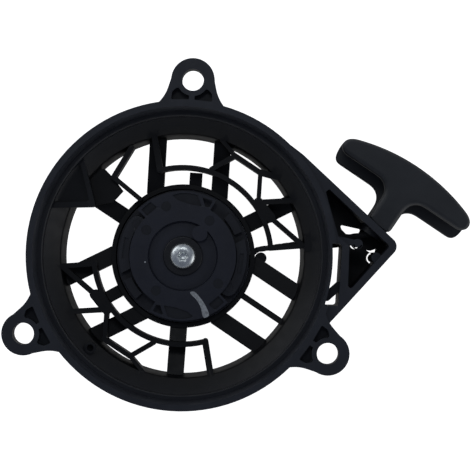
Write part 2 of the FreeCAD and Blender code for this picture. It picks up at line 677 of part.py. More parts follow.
def handle_outline(under, z):
    """Plan of the T-grip: bowed crown, rounded ends and stem with filleted shoulders."""
    crown_end = HANDLE_CROWN - HANDLE_BOW
    crown_s = HANDLE_HALF - 1.8
    shoulder = STEM_HALF_W + STEM_FILLET
    crown = Part.Arc(V(-crown_s, crown_end, z), V(0, HANDLE_CROWN, z), V(crown_s, crown_end, z))
    end_low = V(HANDLE_HALF - 0.7, under + 2.2, z)
    end_arc = Part.Arc(V(crown_s, crown_end, z), V(HANDLE_HALF, (crown_end + under) / 2 + 1.2, z), end_low)
    side = [end_low, V(HANDLE_HALF - 3.2, under, z), V(shoulder, under, z)]
    edges = [end_arc.toShape()] + [Part.makeLine(a, b) for a, b in zip(side, side[1:])]
    turn = math.radians(45)
    fillet_middle = V(shoulder - STEM_FILLET * math.sin(turn), under - STEM_FILLET * (1 - math.cos(turn)), z)
    stem_top = V(STEM_HALF_W, under - STEM_FILLET, z)
    stem_foot = V(STEM_HALF_W, -6, z)
    edges.append(Part.Arc(side[-1], fillet_middle, stem_top).toShape())
    edges.append(Part.makeLine(stem_top, stem_foot))
    mirrored = [edge.mirror(V(0, 0, 0), V(1, 0, 0)) for edge in edges]
    base = Part.makeLine(V(-STEM_HALF_W, -6, z), stem_foot)
    return Part.Wire(Part.__sortEdges__([crown.toShape()] + edges + mirrored + [base]))


def handle_layer(under, low, high):
    """Slice of the T-grip between two heights above its middle plane."""
    return Part.Face(handle_outline(under, low)).extrude(V(0, 0, high - low))


def pull_handle():
    """T-grip: two flanges over a narrower core, with the rope bore and knot chamber."""
    out = V(0, 1, 0)
    thick = HANDLE_HALF_THICK
    inner = thick - HANDLE_FLANGE
    top = handle_layer(HANDLE_UNDER, inner, thick)
    low = handle_layer(HANDLE_LOW_UNDER, -thick, -inner)
    core = handle_layer(HANDLE_CORE_UNDER, 1 - thick, thick - 1)
    groove = Part.makeBox(4.0, STEM_GROOVE_AT + 10, 2 * inner, V(STEM_HALF_W - 1.6, -10, -inner))
    core = core.cut(groove).cut(groove.mirror(V(0, 0, 0), V(1, 0, 0)))
    body = top.multiFuse([low, core])
    chamber = Part.makeCylinder(CHAMBER_R, 2 * CHAMBER_R, V(0, KNOT_AT - CHAMBER_BACK, 0), out)
    bore = Part.makeCylinder(ROPE_R + 0.7, KNOT_AT + 10, V(0, -10, 0), out)
    mouth = Part.makeCylinder(CAP_R + 0.1, 10, V(0, KNOT_AT + CAP_AT - 0.1, 0), out)
    placed = along_pull(body.cut(chamber).cut(bore).cut(mouth))
    seat = along_pull(Part.makeBox(40, 20 + HANDLE_PLAY, 60, V(-20, -20, -30)))
    wall_side = Part.makeBox(200, 200, 100, V(-100, -200 + WALL_OFFSET + HANDLE_PLAY, -70))
    wall_side.rotate(V(0, 0, 0), UP, math.degrees(math.atan2(WALL_NORMAL.y, WALL_NORMAL.x)) - 90)
    return placed.cut(seat).cut(wall_side)


def handle_cap():
    """Push-in cap that closes the knot chamber at the crown."""
    cap = Part.makeCylinder(CAP_R, 1.6, V(0, KNOT_AT + CAP_AT, 0), V(0, 1, 0))
    spigot = tube(CHAMBER_R - 0.1, 4.6, 0, 2.4)
    spigot.rotate(V(0, 0, 0), V(1, 0, 0), -90)
    spigot.translate(V(0, KNOT_AT + CAP_AT - 2.3, 0))
    return along_pull(cap.fuse(spigot))


def knot_washer():
    """Flat washer that the handle knot bears on."""
    out = V(0, 1, 0)
    ring = Part.makeCylinder(CHAMBER_R - 0.6, 0.9, V(0, KNOT_AT - CHAMBER_BACK + 0.1, 0), out)
    return along_pull(ring.cut(Part.makeCylinder(ROPE_R + 0.2, 9, V(0, KNOT_AT - 9, 0), out)))


def main():
    save("starter_housing", housing())
    save("threaded_insert", threaded_insert())
    save("step_collar", step_collar())
    save("centre_screw", centre_screw())
    save("rewind_spring", rewind_spring())
    save("spring_cover", spring_cover())
    save("rope_eyelet", rope_eyelet())
    save("rope_run", rope_run())
    save("pulley", pulley())
    save("rope_coil", rope_coil())
    save("pulley_knot", rope_knot(PULLEY_KNOT_R, PULLEY_KNOT))
    save("friction_plate", friction_plate())
    save("friction_spring", friction_spring())
    first = pawl()
    for number, turn in ((1, 0), (2, 180)):
        pivot = pawl_pivots()[number - 1]
        save(f"pawl_{number}", spun(first, turn))
        save(f"pawl_pin_{number}", pawl_pin(pivot))
        save(f"pawl_spring_{number}", pawl_spring(pivot))
    save("pull_handle", pull_handle())
    save("handle_cap", handle_cap())
    save("knot_washer", knot_washer())
    save("handle_knot", along_pull(rope_knot(KNOT_R, V(0, KNOT_AT, 0))))


main()
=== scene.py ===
"""Recoil starter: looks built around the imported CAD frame.

Row frame in metres: origin on the crankshaft axis at the lug plane, +Z to the engine. The starter
lies on its closed face, so the engine side looks up at the camera.
"""

import json
import math

import bmesh
import bpy
from mathutils import Matrix, Vector


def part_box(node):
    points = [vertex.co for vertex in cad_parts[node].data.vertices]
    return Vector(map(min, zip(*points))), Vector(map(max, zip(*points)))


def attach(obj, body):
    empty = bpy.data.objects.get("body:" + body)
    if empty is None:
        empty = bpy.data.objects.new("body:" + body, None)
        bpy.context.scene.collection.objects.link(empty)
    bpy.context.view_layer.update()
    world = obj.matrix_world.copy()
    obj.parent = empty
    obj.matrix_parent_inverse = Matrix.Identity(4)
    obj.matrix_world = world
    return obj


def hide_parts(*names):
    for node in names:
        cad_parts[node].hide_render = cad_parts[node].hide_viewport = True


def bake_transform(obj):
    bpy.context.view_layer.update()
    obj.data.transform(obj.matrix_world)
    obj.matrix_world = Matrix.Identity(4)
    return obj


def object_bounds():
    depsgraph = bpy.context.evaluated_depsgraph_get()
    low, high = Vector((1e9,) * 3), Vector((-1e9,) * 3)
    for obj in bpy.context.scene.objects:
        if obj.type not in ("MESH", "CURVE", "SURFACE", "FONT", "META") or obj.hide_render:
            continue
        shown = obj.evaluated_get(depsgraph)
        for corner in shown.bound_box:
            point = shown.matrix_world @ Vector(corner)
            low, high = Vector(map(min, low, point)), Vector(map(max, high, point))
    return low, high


MM = 0.001
PULL_ANGLE = math.radians(59.8)
PULL = Vector((math.cos(PULL_ANGLE), math.sin(PULL_ANGLE), 0))
ACROSS = Vector((math.sin(PULL_ANGLE), -math.cos(PULL_ANGLE), 0))
EXIT = Vector((105.5, 22.7, -20.0)) * MM
ROPE_R = 1.6 * MM
FULL_TURN = 2 * math.pi

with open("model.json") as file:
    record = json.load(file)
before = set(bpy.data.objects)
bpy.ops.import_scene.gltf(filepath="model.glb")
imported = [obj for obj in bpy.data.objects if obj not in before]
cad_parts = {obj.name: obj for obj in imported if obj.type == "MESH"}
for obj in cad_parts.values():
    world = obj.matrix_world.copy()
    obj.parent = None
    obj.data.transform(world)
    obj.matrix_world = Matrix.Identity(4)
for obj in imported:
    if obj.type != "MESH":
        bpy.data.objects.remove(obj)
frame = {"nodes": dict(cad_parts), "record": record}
CAD_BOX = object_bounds()
NODES = frame["nodes"]


# ---- node helpers --------------------------------------------------------------------------
def new_material(name):
    """Empty node material: (material, node tree, principled shader)."""
    material = bpy.data.materials.new(name)
    material.use_nodes = True
    tree = material.node_tree
    shader = tree.nodes["Principled BSDF"]
    return material, tree, shader


def add_node(tree, kind, inputs=None, **settings):
    """One shader node with its settings and plain input values."""
    node = tree.nodes.new(kind)
    for key, value in settings.items():
        setattr(node, key, value)
    for key, value in (inputs or {}).items():
        node.inputs[key].default_value = value
    return node


def place(tree):
    """Object coordinates, which are row-frame metres on every piece."""
    return add_node(tree, "ShaderNodeTexCoord").outputs["Object"]


def noise(tree, scale, detail=3.0):
    """Noise on object coordinates; scale is in waves per metre."""
    node = add_node(tree, "ShaderNodeTexNoise", {"Scale": scale, "Detail": detail, "Roughness": 0.55})
    tree.links.new(place(tree), node.inputs["Vector"])
    return node.outputs["Fac"]


def ramp(tree, value, stops):
    """Colour ramp from (position, colour) stops."""
    node = add_node(tree, "ShaderNodeValToRGB")
    while len(node.color_ramp.elements) < len(stops):
        node.color_ramp.elements.new(0.5)
    for element, (position, colour) in zip(node.color_ramp.elements, stops):
        element.position = position
        element.color = (*colour, 1)
    tree.links.new(value, node.inputs["Fac"])
    return node.outputs["Color"]


def spread(tree, value, low, high):
    """Noise value, mostly between 0.3 and 0.7, mapped to low..high."""
    limits = {"From Min": 0.3, "From Max": 0.7, "To Min": low, "To Max": high}
    node = add_node(tree, "ShaderNodeMapRange", limits)
    tree.links.new(value, node.inputs["Value"])
    return node.outputs["Result"]


def bumps(tree, shader, layers):
    """Chain of bump nodes from (height, strength, distance) layers."""
    normal = None
    for height, strength, distance in layers:
        node = add_node(tree, "ShaderNodeBump", {"Strength": strength, "Distance": distance})
        tree.links.new(height, node.inputs["Height"])
        if normal:
            tree.links.new(normal, node.inputs["Normal"])
        normal = node.outputs["Normal"]
    tree.links.new(normal, shader.inputs["Normal"])


def shade(colour, factor):
    """A colour made lighter or darker."""
    return tuple(channel * factor for channel in colour)


# ---- materials -----------------------------------------------------------------------------
def painted_depth_shade(tree, colour, low, high, darkest):
    """Colour darkened with depth as painted shade: full at height high, darkest at height low and below."""
    axes = add_node(tree, "ShaderNodeSeparateXYZ")
    tree.links.new(place(tree), axes.inputs["Vector"])
    limits = {"From Min": low, "From Max": high, "To Min": darkest, "To Max": 1.0}
    depth = add_node(tree, "ShaderNodeMapRange", limits)
    tree.links.new(axes.outputs["Z"], depth.inputs["Value"])
    tone = add_node(tree, "ShaderNodeVectorMath", operation="SCALE")
    tree.links.new(colour, tone.inputs["Vector"])
    tree.links.new(depth.outputs["Result"], tone.inputs["Scale"])
    return tone.outputs["Vector"]


def moulded(name, colour, roughness, grain=0.22, specular=0.5, depth_shade=None):
    """Injection-moulded plastic: spark-eroded grain, faint flow mottling, uneven gloss and, when depth
    levels are given, painted shade that darkens the colour with depth.
    """
    material, tree, shader = new_material(name)
    mottle_and_shade = ramp(tree, noise(tree, 55, 4), [(0.3, shade(colour, 0.86)), (0.7, shade(colour, 1.16))])
    # Painted shade: the colour darkens with depth below the engine side.
    if depth_shade:
        mottle_and_shade = painted_depth_shade(tree, mottle_and_shade, *depth_shade)
    tree.links.new(mottle_and_shade, shader.inputs["Base Color"])
    gloss = spread(tree, noise(tree, 190, 3), roughness - 0.05, roughness + 0.06)
    tree.links.new(gloss, shader.inputs["Roughness"])
    shader.inputs["Specular IOR Level"].default_value = specular
    bumps(tree, shader, [(noise(tree, 2600, 2), grain, 0.00012), (noise(tree, 90, 3), 0.12, 0.0006)])
    return material


def metal(name, colour, roughness):
    """Plated or drawn metal with fine tool marks and slight tarnish."""
    tool_marks = 1500
    material, tree, shader = new_material(name)
    tarnish = ramp(tree, noise(tree, 260, 4), [(0.32, shade(colour, 0.8)), (0.62, colour)])
    tree.links.new(tarnish, shader.inputs["Base Color"])
    gloss = spread(tree, noise(tree, tool_marks, 2), roughness - 0.06, roughness + 0.08)
    tree.links.new(gloss, shader.inputs["Roughness"])
    shader.inputs["Metallic"].default_value = 1.0
    bumps(tree, shader, [(noise(tree, tool_marks, 2), 0.12, 0.00008)])
    return material


def rope_fibre(name, colour):
    """Polyester braid: fine filaments over the modelled strands."""
    material, tree, shader = new_material(name)
    fleck = ramp(tree, noise(tree, 900, 4), [(0.35, shade(colour, 0.55)), (0.65, shade(colour, 1.35))])
    tree.links.new(fleck, shader.inputs["Base Color"])
    shader.inputs["Roughness"].default_value = 0.82
    shader.inputs["Sheen Weight"].default_value = 0.25
    bumps(tree, shader, [(noise(tree, 5200, 3), 0.5, 0.0002)])
    return material


def painted(name, colour):
    """Matt marking paint brushed on plastic, thinner in places."""
    material, tree, shader = new_material(name)
    coat = ramp(tree, noise(tree, 700, 5), [(0.32, shade(colour, 0.55)), (0.58, colour)])
    tree.links.new(coat, shader.inputs["Base Color"])
    shader.inputs["Roughness"].default_value = 0.6
    bumps(tree, shader, [(noise(tree, 1800, 3), 0.4, 0.0001)])
    return material


# Painted shade on the housing: lowest and highest level of the darkening with depth, and the tone at the
# lowest.
HOUSING_DEPTH_SHADE = (-23 * MM, -4 * MM, 0.12)
MATERIALS = {
    "housing_plastic": moulded("housing_plastic", (0.0225, 0.0255, 0.0335), 0.43, specular=0.3,
                               depth_shade=HOUSING_DEPTH_SHADE),
    "handle_plastic": moulded("handle_plastic", (0.0180, 0.0205, 0.0250), 0.44),
    "pulley_plastic": moulded("pulley_plastic", (0.0085, 0.0102, 0.0180), 0.5),
    "plate_plastic": moulded("plate_plastic", (0.0130, 0.0155, 0.0270), 0.42),
    "pawl_plastic": moulded("pawl_plastic", (0.0130, 0.0150, 0.0225), 0.4),
    "collar_plastic": moulded("collar_plastic", (0.0085, 0.0092, 0.0125), 0.36),
    "zinc_screw": metal("zinc_screw", (0.95, 1.0, 1.0), 0.3),
    "spring_steel": metal("spring_steel", (0.30, 0.31, 0.34), 0.38),
    "eyelet_steel": metal("eyelet_steel", (0.48, 0.48, 0.50), 0.3),
    "brass_insert": metal("brass_insert", (0.66, 0.49, 0.22), 0.34),
    "rope": rope_fibre("rope", (0.020, 0.021, 0.025)),
}
PAINT = painted("marking_paint", (0.46, 0.49, 0.52))
# Duller plastic for the recess and ejector-mark floors; its darker colour is painted shade.
RECESS_PAINTED_SHADE = moulded("recess_painted_shade", (0.0045, 0.0064, 0.0125), 0.6, grain=0.3)


# ---- CAD nodes: material and softened edges ------------------------------------------------
# Edge rounding in mm; a node that isn't named keeps its CAD edges.
EDGE_R = {"starter_housing": 0.32, "pull_handle": 0.4, "friction_plate": 0.22, "pulley": 0.2,
          "pawl_1": 0.22, "pawl_2": 0.22, "step_collar": 0.2, "handle_cap": 0.25}
SHARP_ANGLE = math.radians(34)


def dress(node, slot_name):
    """Give a CAD node its finish and, on moulded pieces, softened edges."""
    obj = NODES[node]
    obj.data.materials.clear()
    obj.data.materials.append(MATERIALS[slot_name])
    for polygon in obj.data.polygons:
        polygon.material_index = 0
    if node not in EDGE_R:
        return
    weld = obj.modifiers.new("weld", "WELD")
    weld.merge_threshold = 2e-6
    bevel = obj.modifiers.new("edges", "BEVEL")
    bevel.width = EDGE_R[node] * MM
    bevel.segments = 2
    bevel.limit_method = "ANGLE"
    bevel.angle_limit = SHARP_ANGLE
    bevel.use_clamp_overlap = True
    bevel.harden_normals = False
    smooth = obj.modifiers.new("normals", "WEIGHTED_NORMAL")
    smooth.keep_sharp = False


for part in frame["record"]["subparts"]:
    dress(part["node"], part["material_slot"])


# ---- mesh helpers --------------------------------------------------------------------------
def mesh_object(name, verts, faces, slot_name, material=None):
    """Smooth-shaded mesh piece with one material."""
    mesh = bpy.data.meshes.new(name)
    mesh.from_pydata([tuple(v) for v in verts], [], faces)
    mesh.validate()
    for polygon in mesh.polygons:
        polygon.use_smooth = True
    mesh.materials.append(material or MATERIALS[slot_name])
    obj = bpy.data.objects.new(name, mesh)
    bpy.context.scene.collection.objects.link(obj)
    return obj


def route(points, resolution):
    """Points read from a smooth NURBS spline through a route."""
    curve = bpy.data.curves.new("route", "CURVE")
    curve.dimensions = "3D"
    spline = curve.splines.new("NURBS")
    spline.points.add(len(points) - 1)
    for target, point in zip(spline.points, points):
        target.co = (*point, 1)
    spline.order_u = 3
    spline.use_endpoint_u = True
    spline.resolution_u = resolution
    holder = bpy.data.objects.new("route", curve)
    mesh = bpy.data.meshes.new_from_object(holder)
    line = [v.co.copy() for v in mesh.vertices]
    bpy.data.objects.remove(holder)
    bpy.data.curves.remove(curve)
    bpy.data.meshes.remove(mesh)
    return line


def evenly(line, step):
    """The same line with points a fixed step apart."""
    made = [line[0].copy()]
    left = step
    for a, b in zip(line, line[1:]):
        span = (b - a).length
        at = left
        while at <= span:
            made.append(a.lerp(b, at / span))
            at += step
        left = at - span
    if (made[-1] - line[-1]).length > step * 0.3:
        made.append(line[-1].copy())
    return made


BRAID_PITCH = 4.4 * MM
BRAID_STRANDS = 4
BRAID_RELIEF = 0.09
TIP_SHARE = 0.35


def braid_height(turn, along):
    """Height of a diamond braid, at most 1: strands that wind both ways round the rope."""
    first = math.cos(BRAID_STRANDS * turn + FULL_TURN * along / BRAID_PITCH)
    second = math.cos(BRAID_STRANDS * turn - FULL_TURN * along / BRAID_PITCH)
    return max(first, second)


def swept(name, line, radius, sides, slot_name):
    """Braided tube along a line, closed with pointed ends."""
    verts = []
    faces = []
    tangents = [(b - a).normalized() for a, b in zip(line, line[1:])]
    tangents.append(tangents[-1])
    across = tangents[0].orthogonal().normalized()
    along = 0.0
    for i, point in enumerate(line):
        if i:
            along += (point - line[i - 1]).length
            turn = tangents[i - 1].rotation_difference(tangents[i])
            across = (turn @ across).normalized()
        other = tangents[i].cross(across)
        for j in range(sides):
            angle = FULL_TURN * j / sides
            reach = radius * (1 - BRAID_RELIEF + BRAID_RELIEF * braid_height(angle, along))
            verts.append(point + (across * math.cos(angle) + other * math.sin(angle)) * reach)
    for i in range(len(line) - 1):
        for j in range(sides):
            a = i * sides + j
            b = i * sides + (j + 1) % sides
            faces.append((a, b, b + sides, a + sides))
    start_tip = line[0] - tangents[0] * radius * TIP_SHARE
    end_tip = line[-1] + tangents[-1] * radius * TIP_SHARE
    for index, tip in ((0, start_tip), (len(line) - 1, end_tip)):
        verts.append(tip)
        centre = len(verts) - 1
        for j in range(sides):
            a = index * sides + j
            b = index * sides + (j + 1) % sides
            faces.append((b, a, centre) if index == 0 else (a, b, centre))
    return mesh_object(name, verts, faces, slot_name)


def lathe(name, profile, steps, slot_name, radius_at=None):
    """Closed solid of revolution about Z from (radius, z) points that start and end on the axis."""
    verts = [Vector((0, 0, profile[0][1]))]
    rings = profile[1:-1]
    for row, (radius, z) in enumerate(rings):
        for j in range(steps):
            angle = FULL_TURN * j / steps
            reach = radius_at(row, radius, angle) if radius_at else radius
            verts.append(Vector((reach * math.cos(angle), reach * math.sin(angle), z)))
    verts.append(Vector((0, 0, profile[-1][1])))
    faces = []
    last = len(verts) - 1
    for j in range(steps):
        k = (j + 1) % steps
        faces.append((0, 1 + k, 1 + j))
        for row in range(len(rings) - 1):
            base = 1 + row * steps
            faces.append((base + j, base + k, base + steps + k, base + steps + j))
        base = 1 + (len(rings) - 1) * steps
        faces.append((base + j, base + k, last))
    return mesh_object(name, verts, faces, slot_name)


# ---- rope ----------------------------------------------------------------------------------
ROPE_ROUTE = [Vector(p) * MM for p in (
    (28.6, -15.4, -38.2), (37.8, 1.8, -38.2), (40.2, 6.2, -38.2), (44.9, 7.2, -36.8),
    (99.35, 18.25, -21.2), (103.4, 19.1, -20.0), (105.55, 22.8, -20.0), (118.8, 45.6, -20.0))]


def rope_run():
    """Braided rope from the coil round the fairlead, through the duct and eyelet to the knot."""
    line = evenly(route(ROPE_ROUTE, 24), 0.4 * MM)
    rope = swept("rope_braid", line, ROPE_R, 24, "rope")
    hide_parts("rope_run")
    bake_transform(rope)


WINDING_IN_R = 19.0 * MM
WINDING_LAYERS = 4
STEPS_PER_TURN = 150
CROSSING_FROM = 0.86


def wound_rope():
    """Rope turns on the pulley: two side by side in each layer, one continuous winding.

    In the last part of each turn the rope crosses to the other side or climbs to the next layer.
    """
    low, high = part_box("rope_coil")
    outer = high.x - ROPE_R
    mid_z = (low.z + high.z) / 2
    shift = (high.z - low.z) / 2 - ROPE_R
    layer_step = (outer - WINDING_IN_R) / (WINDING_LAYERS - 1)
    line = []
    for turn in range(2 * WINDING_LAYERS):
        layer = turn // 2
        side = (1 if turn % 2 else -1) * (1 if layer % 2 else -1)
        crossing = turn % 2 == 0
        climbing = not crossing and layer < WINDING_LAYERS - 1
        for k in range(STEPS_PER_TURN):
            share = k / STEPS_PER_TURN
            ease = max(0.0, (share - CROSSING_FROM) / (1 - CROSSING_FROM))
            ease = ease * ease * (3 - 2 * ease)
            z = mid_z + shift * side * (1 - 2 * ease if crossing else 1)
            radius = WINDING_IN_R + layer_step * (layer + (ease if climbing else 0))
            angle = FULL_TURN * share
            line.append(Vector((radius * math.cos(angle), radius * math.sin(angle), z)))
    coil = swept("rope_winding", line, ROPE_R, 12, "rope")
    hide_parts("rope_coil")
    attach(coil, "pulley")


# ---- screw ---------------------------------------------------------------------------------
LOBE_DEPTH = 0.42 * MM
SOCKET_DEPTH = 2.6 * MM
SHANK_R = 2.9 * MM
THREAD_ROOT_R = 2.55 * MM
THREAD_PITCH = 1.4 * MM
# Share of the lobe depth on the rows of the profile that belong to the socket wall.
LOBE_SHARES = {1: 1.0, 2: 1.0, 3: 0.6}


def centre_screw():
    """Pan-head screw: domed head, fine edge roll, six-lobe socket and threaded shank."""
    low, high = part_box("centre_screw")
    head_r = high.x
    top = high.z
    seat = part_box("step_collar")[1].z
    socket_z = top - SOCKET_DEPTH
    socket = [(0, socket_z - 0.3 * MM), (1.2 * MM, socket_z), (2.15 * MM, socket_z + 0.05 * MM),
              (2.2 * MM, top - 0.45 * MM), (2.45 * MM, top - 0.12 * MM)]
    dome = [(2.9 * MM, top), (4.4 * MM, top - 0.16 * MM), (5.6 * MM, top - 0.55 * MM),
            (6.5 * MM, top - 1.0 * MM), (7.05 * MM, top - 1.6 * MM), (7.25 * MM, top - 2.2 * MM)]
    edge = [(head_r, seat + 0.9 * MM), (head_r, seat + 0.25 * MM), (head_r - 0.25 * MM, seat),
            (SHANK_R, seat)]
    profile = socket + dome + edge
    z = seat - 1.2 * MM
    while z > low.z + 2 * MM:
        profile += [(SHANK_R, z), (THREAD_ROOT_R, z - THREAD_PITCH / 2)]
        z -= THREAD_PITCH
    profile += [(2.4 * MM, low.z + 0.3 * MM), (1.9 * MM, low.z), (0, low.z)]

    def lobed(row, radius, angle):
        return radius + LOBE_SHARES.get(row, 0.0) * LOBE_DEPTH * math.cos(6 * angle)

    screw = lathe("zinc_pan_screw", profile, 96, "zinc_screw", lobed)
    flip_outward(screw)
    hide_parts("centre_screw")
    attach(screw, "housing")


def flip_outward(obj):
    """Make all faces point out of the solid."""
    mesh = bmesh.new()
    mesh.from_mesh(obj.data)
    bmesh.ops.recalc_face_normals(mesh, faces=mesh.faces)
    mesh.to_mesh(obj.data)
    mesh.free()


# ---- pull handle ---------------------------------------------------------------------------
# Sizes in mm in the handle's plan: s across the pull line, t along it from the rope exit.
HALF_THICK = 13.0
CROWN = 39.6
CROWN_ARC_R = 110.0
END_S = 41.25
UNDER_TOP = 23.3
UNDER_CORE = 25.4
UNDER_LOW = 18.4
STEM_HALF = 7.1
CORE_STEM_HALF = 5.6
FILLET = 8.0
RIM_R = 1.9
LIP_R = 0.9
FLANGE_Z = 8.0
UNDERSIDE_STEPS = 22
FILLET_STEPS = 12
FOOT_STEPS = 7
FOOT_WEIGHT = -1.8
SMOOTHING_PASSES = 4
# Rope bore, knot chamber and mouth for the cap: (radius, distance along the pull line).
BORE_PROFILE = ((0, -3), (2.3, -3), (2.3, 25.6), (6.0, 25.6), (6.0, 37.6), (7.42, 37.6), (7.42, 46), (0, 46))


def steps_between(a, b, count):
    """Points from a towards b, without b."""
    return [a.lerp(b, k / count) for k in range(count)]


def half_outline(under, stem):
    """Right half of the T-grip's plan in mm, from crown to foot: (point, underside weight)."""
    crown = [Vector((s, CROWN - CROWN_ARC_R + math.sqrt(CROWN_ARC_R ** 2 - s * s))) for s in range(39)]
    corners = [crown[-1], Vector((40.9, 30.4)), Vector((END_S, 27.6)), Vector((40.6, under + 2.3)),
               Vector((38.2, under)), Vector((stem + FILLET, under))]
    points = crown[:-1]
    for a, b, count in zip(corners, corners[1:], (3, 3, 4, 3, UNDERSIDE_STEPS)):
        points += steps_between(a, b, count)
    weights = [0.0] * (len(points) - UNDERSIDE_STEPS) + [1.0] * UNDERSIDE_STEPS
    for k in range(FILLET_STEPS):
        turn = math.pi / 2 * k / FILLET_STEPS
        across = stem + FILLET * (1 - math.sin(turn))
        points.append(Vector((across, under - FILLET * (1 - math.cos(turn)))))
    foot = Vector((stem, foot_at(stem)))
    points += steps_between(Vector((stem, under - FILLET)), foot, 12)
    points += steps_between(foot, Vector((0, foot_at(0))), FOOT_STEPS)
    weights += [1.0] * (len(points) - len(weights) - FOOT_STEPS) + [FOOT_WEIGHT] * FOOT_STEPS
    return points, weights


def foot_at(s):
    """Lower end of the stem, which follows the slanted wall of the beak."""
    return max(0.45, 1.05 - 0.1636 * s)


def grip_outline(under, stem):
    """Whole smoothed plan loop of the T-grip and its underside weights."""
    right, weights = half_outline(under, stem)
    left = [Vector((-p.x, p.y if p.y > 4 else foot_at(-p.x))) for p in reversed(right[1:])]
    loop = right + [Vector((0, foot_at(0)))] + left
    shares = weights + [FOOT_WEIGHT] + list(reversed(weights[1:]))
    for _ in range(SMOOTHING_PASSES):
        loop = eased(loop)
        shares = eased(shares)
    return loop, shares


def eased(ring):
    """Closed ring of values, each averaged with its neighbours."""
    return [(ring[i - 1] + 2 * value + ring[(i + 1) % len(ring)]) / 4 for i, value in enumerate(ring)]


def inset(loop, reach):
    """Loop moved inwards by a distance for each point."""
    moved = []
    for i, p in enumerate(loop):
        tangent = (loop[(i + 1) % len(loop)] - loop[i - 1]).normalized()
        moved.append(p + Vector((tangent.y, -tangent.x)) * reach[i])
    return eased(moved)


def grip_levels():
    """(loop, height) pairs from the upper face of the grip down to the lower one."""
    levels = []
    for side, under in ((1, UNDER_TOP), (-1, UNDER_LOW)):
        loop, shares = grip_outline(under, STEM_HALF)
        flange = []
        for k in range(7):
            turn = math.pi / 2 * k / 6
            reach = [RIM_R * max(0.1, 1 + 0.5 * w) * (1 - math.sin(turn)) for w in shares]
            flange.append((inset(loop, reach), side * (HALF_THICK - RIM_R * (1 - math.cos(turn)))))
        for k in range(4):
            turn = math.pi / 2 * k / 3
            reach = [LIP_R * max(0.0, w) * (1 - math.cos(turn)) for w in shares]
            flange.append((inset(loop, reach), side * (FLANGE_Z + LIP_R * (1 - math.sin(turn)))))
        core = inset(grip_outline(UNDER_CORE, CORE_STEM_HALF)[0], [0.0] * len(loop))
        flange.append((core, side * (FLANGE_Z - 0.1)))
        levels += flange if side == 1 else list(reversed(flange))
    return levels


def grip_bore():
    """Cutter along the pull line: rope bore, knot chamber and mouth for the cap."""
    profile = [(radius * MM, at * MM) for radius, at in BORE_PROFILE]
    cutter = lathe("grip_bore", profile, 48, "handle_plastic")
    flip_outward(cutter)
    frame_at = Matrix((ACROSS, Vector((0, 0, 1)), PULL)).transposed().to_4x4()
    cutter.data.transform(Matrix.Translation(EXIT) @ frame_at)
    return cutter


def pull_grip():
    """T-grip with rounded rims, finger groove, rope bore and cap mouth."""
    verts = []
    faces = []
    levels = grip_levels()
    count = len(levels[0][0])
    for loop, height in levels:
        verts += [EXIT + (ACROSS * p.x + PULL * p.y + Vector((0, 0, height))) * MM for p in loop]
    for row in range(len(levels) - 1):
        for j in range(count):
            a = row * count + j
            b = row * count + (j + 1) % count
            faces.append((a, b, b + count, a + count))
    faces.append(tuple(range(count)))
    faces.append(tuple(reversed(range((len(levels) - 1) * count, len(levels) * count))))
    grip = mesh_object("pull_grip", verts, faces, "handle_plastic")
    flip_outward(grip)
    cutter = grip_bore()
    cut = grip.modifiers.new("bore", "BOOLEAN")
    cut.operation = "DIFFERENCE"
    cut.solver = "EXACT"
    cut.object = cutter
    settle(grip)
    bpy.data.objects.remove(cutter)
    grip.data.set_sharp_from_angle(angle=math.radians(38))
    grip.modifiers.new("normals", "WEIGHTED_NORMAL").keep_sharp = True
    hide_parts("pull_handle")
    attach(grip, "handle")


def settle(obj):
    """Apply an object's modifiers to its mesh."""
    graph = bpy.context.evaluated_depsgraph_get()
    made = bpy.data.meshes.new_from_object(obj.evaluated_get(graph))
    obj.modifiers.clear()
    old = obj.data
    obj.data = made
    bpy.data.meshes.remove(old)


# ---- marks on the friction plate -----------------------------------------------------------
# Plan points on the plate are (radius in mm, angle in degrees).
PLATE_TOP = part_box("friction_plate")[1].z
EJECTOR_FLOOR_Z = PLATE_TOP - 0.21 * MM
EJECTOR_FILM_R = 2.75 * MM
EJECTOR_MARKS = ((29.0, 112.3), (24.6, 56.4), (24.8, 148.3), (24.4, 236.0), (25.0, 325.8))
SAIL = ((34.2, 103.6), (34.9, 96), (35.0, 88), (34.7, 80.2), (29.6, 73), (29.1, 86), (31.0, 98))
SAIL_FLOOR_Z = -26.9 * MM
POCKET = ((34.4, 135.2), (34.8, 130), (34.8, 125.2), (30.6, 122), (30.0, 129), (30.0, 135.2))
POCKET_FLOOR_Z = -27.3 * MM


def film(name, outline, z, height, slot_name, material=None, body="friction_plate"):
    """Very thin raised patch with an outline of (x, y) points."""
    count = len(outline)
    verts = [Vector((x, y, z)) for x, y in outline] + [Vector((x, y, z + height)) for x, y in outline]
    faces = [tuple(range(count, 2 * count)), tuple(reversed(range(count)))]
    faces += [(i, (i + 1) % count, count + (i + 1) % count, count + i) for i in range(count)]
    obj = mesh_object(name, verts, faces, slot_name, material)
    for polygon in obj.data.polygons:
        polygon.use_smooth = False
    flip_outward(obj)
    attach(obj, body)


def smooth_loop(points, steps):
    """Closed Catmull-Rom loop through points."""
    made = []
    count = len(points)
    for i in range(count):
        p0, p1, p2, p3 = (Vector(points[(i + k) % count]) for k in (-1, 0, 1, 2))
        for j in range(steps):
            t = j / steps
            made.append(0.5 * (2 * p1 + (p2 - p0) * t + (2 * p0 - 5 * p1 + 4 * p2 - p3) * t * t
                               + (3 * p1 - p0 - 3 * p2 + p3) * t ** 3))
    return [(p.x, p.y) for p in made]


def paint_stripe():
    """Curved stripe of pale marking paint across the plate, wider towards the rim."""
    left = [(5.4, -20.2), (9.2, -23.8), (11.8, -27.7), (13.7, -33.2)]
    right = [(16.7, -32.0), (15.4, -28.3), (13.0, -24.6), (10.2, -21.4), (7.7, -19.4)]
    outline = smooth_loop(left + right, 5)
    film("marking_stripe", [(x * MM, y * MM) for x, y in outline], PLATE_TOP - 0.02 * MM, 0.07 * MM,
         "plate_plastic", PAINT)


